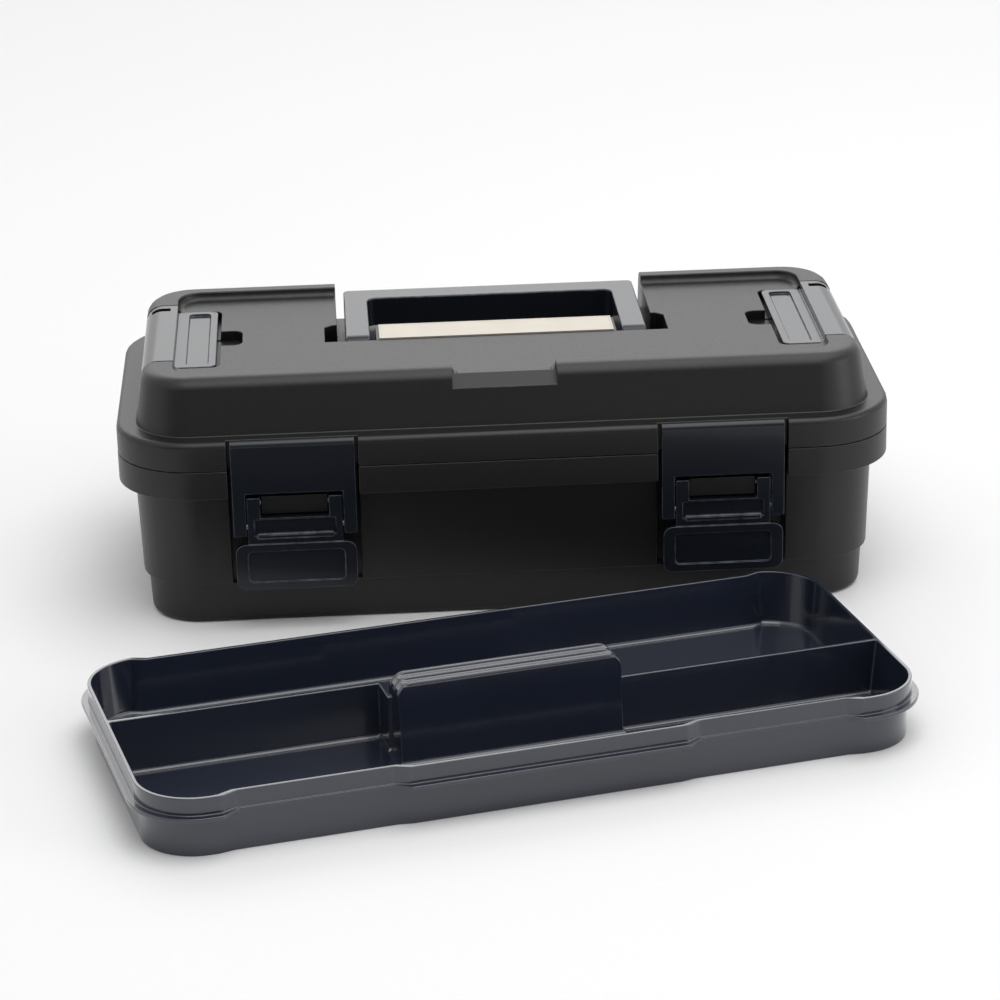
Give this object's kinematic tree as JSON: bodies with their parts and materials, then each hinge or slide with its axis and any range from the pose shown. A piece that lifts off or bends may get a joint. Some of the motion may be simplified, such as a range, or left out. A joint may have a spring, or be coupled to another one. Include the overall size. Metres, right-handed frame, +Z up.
{
  "type": "toolbox with tray",
  "caption": "Toolbox with a hinged domed lid, draw latches, a folding carrying handle, flip-up end clips and a lift-out tray standing in front",
  "frame": {"origin": "centre of the flat underside of the box", "axes": "+X to the right along the box, +Y to the back where the lid is hinged, +Z up; the latches and the tray are towards -Y"},
  "size_m": [0.4041, 0.4533, 0.128],
  "materials": {
    "shell": "fine grained charcoal moulding",
    "navy_trim": "smooth dark blue-grey moulding",
    "tray": "semi-gloss dark blue-black moulding",
    "label": "satin brown-grey plate",
    "steel": "plain drawn wire"
  },
  "bodies": {
    "tub": {"tub": "shell", "hinge_pin_left": "steel", "hinge_pin_right": "steel", "lever_pin_left": "steel", "lever_pin_right": "steel"},
    "lid": {"lid": "shell", "label_plate": "label", "clip_pin_left": "steel", "clip_pin_right": "steel"},
    "handle": {"handle": "navy_trim"},
    "lever_left": {"latch_lever_left": "navy_trim"},
    "lever_right": {"latch_lever_right": "navy_trim"},
    "hook_left": {"latch_hook_left": "navy_trim", "hook_pin_left": "steel"},
    "hook_right": {"latch_hook_right": "navy_trim", "hook_pin_right": "steel"},
    "clip_left": {"clip_left": "navy_trim"},
    "clip_right": {"clip_right": "navy_trim"},
    "tray": {"tray": "tray"}
  },
  "joints": [
    {"name": "lid_hinge", "type": "hinge", "parent": "tub", "child": "lid", "pos_m": [0, 0.101, 0.086], "axis": [-1, 0, 0], "range_deg": [0, 105]},
    {"name": "handle_pivot", "type": "hinge", "parent": "lid", "child": "handle", "pos_m": [0, -0.0035, 0.11615], "axis": [1, 0, 0], "range_deg": [0, 95]},
    {"name": "latch_left", "type": "hinge", "parent": "tub", "child": "lever_left", "pos_m": [-0.107, -0.0903, 0.067], "axis": [-1, 0, 0], "range_deg": [0, 95]},
    {"name": "hook_left", "type": "hinge", "parent": "lever_left", "child": "hook_left", "pos_m": [-0.107, -0.0923, 0.055], "axis": [-1, 0, 0], "range_deg": [-107, 0]},
    {"name": "latch_right", "type": "hinge", "parent": "tub", "child": "lever_right", "pos_m": [0.107, -0.0903, 0.067], "axis": [-1, 0, 0], "range_deg": [0, 95]},
    {"name": "hook_right", "type": "hinge", "parent": "lever_right", "child": "hook_right", "pos_m": [0.107, -0.0923, 0.055], "axis": [-1, 0, 0], "range_deg": [-107, 0]},
    {"name": "clip_left", "type": "hinge", "parent": "lid", "child": "clip_left", "pos_m": [-0.173, 0, 0.119], "axis": [0, -1, 0], "range_deg": [0, 95]},
    {"name": "clip_right", "type": "hinge", "parent": "lid", "child": "clip_right", "pos_m": [0.173, 0, 0.119], "axis": [0, 1, 0], "range_deg": [0, 95]},
    {"name": "tray_lift", "type": "slide", "parent": "tub", "child": "tray", "axis": [0, 0, 1], "range_m": [0, 0.2]}
  ],
  "couplings": [
    {"joint": "hook_left", "follows": "latch_left", "ratio": -1.12},
    {"joint": "hook_right", "follows": "latch_right", "ratio": -1.12}
  ]
}
